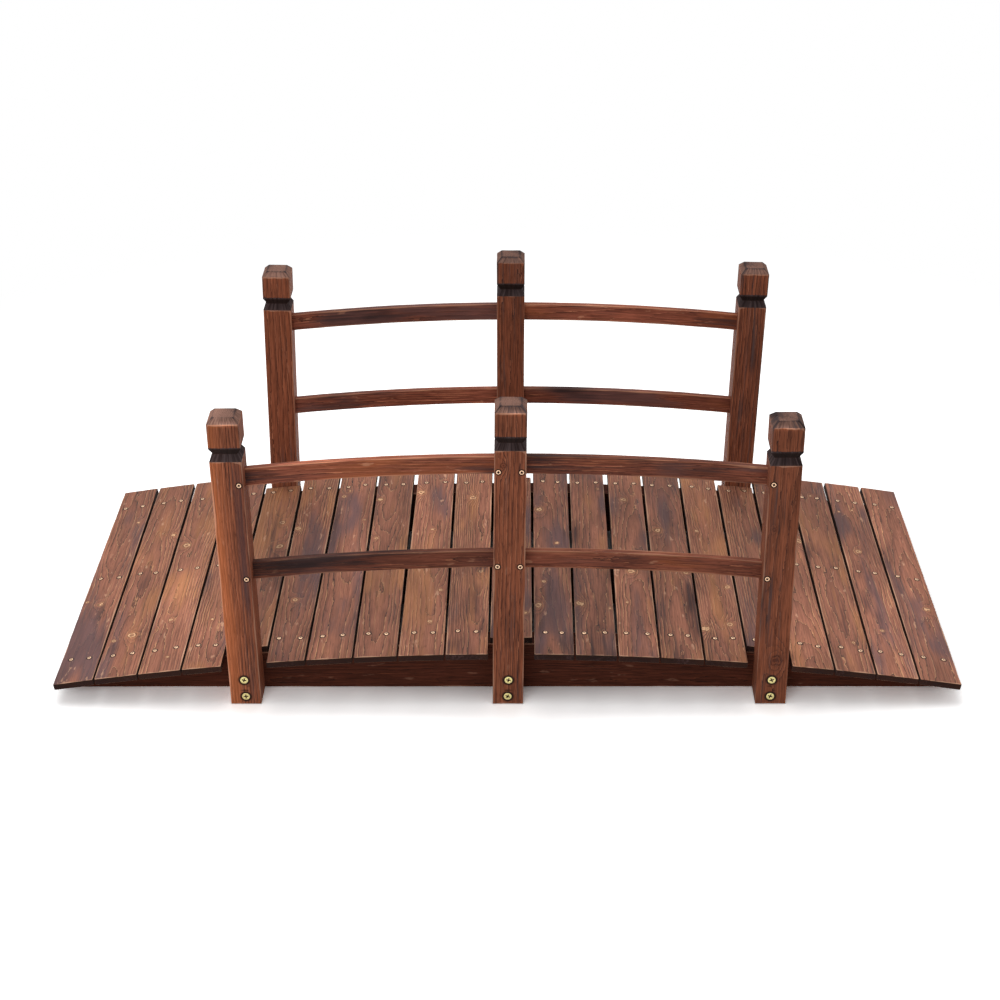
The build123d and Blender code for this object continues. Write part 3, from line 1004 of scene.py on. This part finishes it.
def repeat(name, shape, places, material):
    """One mesh of a copy of shape at each place."""
    points, faces, grime = shape
    all_points, all_faces = [], []
    for count, place in enumerate(places):
        matrix = np.array(place)
        all_points.append(points @ matrix[:3, :3].T + matrix[:3, 3])
        all_faces += [tuple(index + count * len(points) for index in face) for face in faces]
    piece = new_piece(name, np.concatenate(all_points), all_faces, material)
    dirt = np.tile(grime, len(places))
    carry(piece, {"grime": np.column_stack([dirt, dirt, dirt])})


def nail_head(radius):
    """A low round head with a small dished middle."""
    profile = [(0.1, 0.1, 0.8), (0.3, 0.15, 0.8), (0.42, 0.5, 0.3), (0.6, 0.62, 0.0),
               (0.85, 0.42, 0.0), (0.97, 0.15, 0.1), (1.0, -0.1, 0.9), (0.98, -0.8, 1.0)]
    return turned([(r * radius, z * MM, dirt) for r, z, dirt in profile], NAIL_SIDES)


def cross_head(radius, arm, half_width):
    """A flat countersunk head with a cross recess, whose arms have that reach and half width in
    radii of the head."""
    def cross(scale):
        def reach(angle):
            across, along = sorted((abs(math.sin(angle)), abs(math.cos(angle))))
            if across * arm <= along * half_width:
                return scale * radius * arm / along
            return scale * radius * half_width / across
        return reach

    profile = [(cross(0.3), -1.3 * MM, 1.0), (cross(0.86), -1.0 * MM, 1.0),
               (cross(1.0), 0.1 * MM, 0.85), (cross(1.1), 0.2 * MM, 0.0),
               (0.74 * radius, 0.3 * MM, 0.0), (0.93 * radius, 0.15 * MM, 0.0),
               (radius, -0.15 * MM, 0.6), (0.96 * radius, -1.5 * MM, 1.0)]
    return turned(profile, SCREW_SIDES)


nail, zinc = materials["nail"], materials["zinc"]
rail_screw = cross_head(RAIL_SCREW_HEAD, *RAIL_SCREW_RECESS)
foot_screw = cross_head(FOOT_SCREW_HEAD, *FOOT_SCREW_RECESS)
repeat("deck_nails", nail_head(NAIL_HEAD), deck_nails, nail)
repeat("rail_screws", rail_screw, rail_screws, nail)
repeat("foot_screws", foot_screw, foot_screws, zinc)


# Camera, light and floor

def add_camera():
    """The camera at the photograph's angle."""
    data = bpy.data.cameras.new("camera")
    data.sensor_width = SENSOR
    data.lens = data.sensor_width * FOCAL_PIXELS / PHOTO_SIDE
    camera = bpy.data.objects.new("camera", data)
    turn = Matrix.Rotation(math.radians(-CAMERA_YAW), 4, "Z")
    turn @= Matrix.Rotation(math.radians(90 - CAMERA_PITCH), 4, "X")
    turn @= Matrix.Rotation(math.radians(CAMERA_ROLL), 4, "Z")
    camera.matrix_world = Matrix.Translation(CAMERA_PLACE) @ turn
    bpy.context.scene.collection.objects.link(camera)
    bpy.context.scene.camera = camera


def add_lamp(name, place, size, power):
    """A square soft box that faces the bridge."""
    data = bpy.data.lights.new(name, "AREA")
    data.size = size
    data.energy = power
    lamp = bpy.data.objects.new(name, data)
    lamp.location = place
    aim = Vector(LAMP_TARGET) - Vector(place)
    lamp.rotation_euler = aim.to_track_quat("-Z", "Y").to_euler()
    bpy.context.scene.collection.objects.link(lamp)


def seen_rays(shader):
    """1 for rays that come from the camera or from a mirror or glass, else 0."""
    path = shader.tree.nodes.new("ShaderNodeLightPath").outputs
    through = shader.math("MAXIMUM", path["Is Glossy Ray"], path["Is Transmission Ray"])
    return shader.math("MAXIMUM", path["Is Camera Ray"], through)


def add_world(daylight):
    """Even light from all round, seen as a white background."""
    world = bpy.data.worlds.new("studio")
    bpy.context.scene.world = world
    shader = Shader(world)
    background = shader.tree.nodes["Background"].inputs
    background["Color"].default_value = (1, 1, 1, 1)
    strength = {"Value": seen_rays(shader), "To Min": daylight, "To Max": 1.0}
    shader.feed(background["Strength"], shader.add("MapRange", strength))


def add_floor():
    """A pale floor that looks white away from the object and keeps its shadow.
    Under the bridge the camera sees it in a darker colour, painted shade, so what shows of it
    through the joints of the deck stays dark."""
    square = ((-1, -1), (1, -1), (1, 1), (-1, 1))
    corners = [(x * FLOOR_HALF, y * FLOOR_HALF, -FLOOR_DROP) for x, y in square]
    mesh = bpy.data.meshes.new("floor")
    mesh.from_pydata(corners, [], [(0, 1, 2, 3)])
    floor = bpy.data.objects.new("floor", mesh)
    bpy.context.scene.collection.objects.link(floor)
    shader = Shader(bpy.data.materials.new("floor"))
    shader.tree.nodes.remove(shader.tree.nodes["Principled BSDF"])
    seen = seen_rays(shader)
    place = shader.add("TexCoord", {}, "Object")

    def seen_outside(half_x, half_y, reach):
        """1 for seen rays outside an oval round the bridge, falling to 0 inside it. Reach is
        where that starts and ends, over the oval's size."""
        oval = shader.add("VectorMath", {0: place, 1: (1 / half_x, 1 / half_y, 0)},
                          operation="MULTIPLY")
        away = shader.add("VectorMath", {0: oval}, "Value", operation="LENGTH")
        return shader.math("MULTIPLY", shader.step(away, *reach), seen)

    pale, bright = ((share, share, share, 1) for share in (FLOOR_PALE, FLOOR_SEEN))
    # Under the bridge the camera sees the darker colour: painted shade that keeps the joints of the
    # deck dark.
    shade = shader.mix(seen_outside(*UNDER_BRIDGE, UNDER_BRIDGE_FADE), pale, bright)
    matt = shader.add("BsdfDiffuse", {"Color": shade})
    white = shader.add("Emission", {})
    both = shader.add("MixShader", {0: seen_outside(1, 1, SHADOW_REACH), 1: matt, 2: white})
    shader.feed(shader.tree.nodes["Material Output"].inputs["Surface"], both)
    mesh.materials.append(shader.owner)


add_camera()
add_floor()
add_world(DAYLIGHT)
for name, (place, size, power) in LAMPS.items():
    add_lamp(name, place, size, power)
bpy.context.scene.view_settings.view_transform = "Standard"
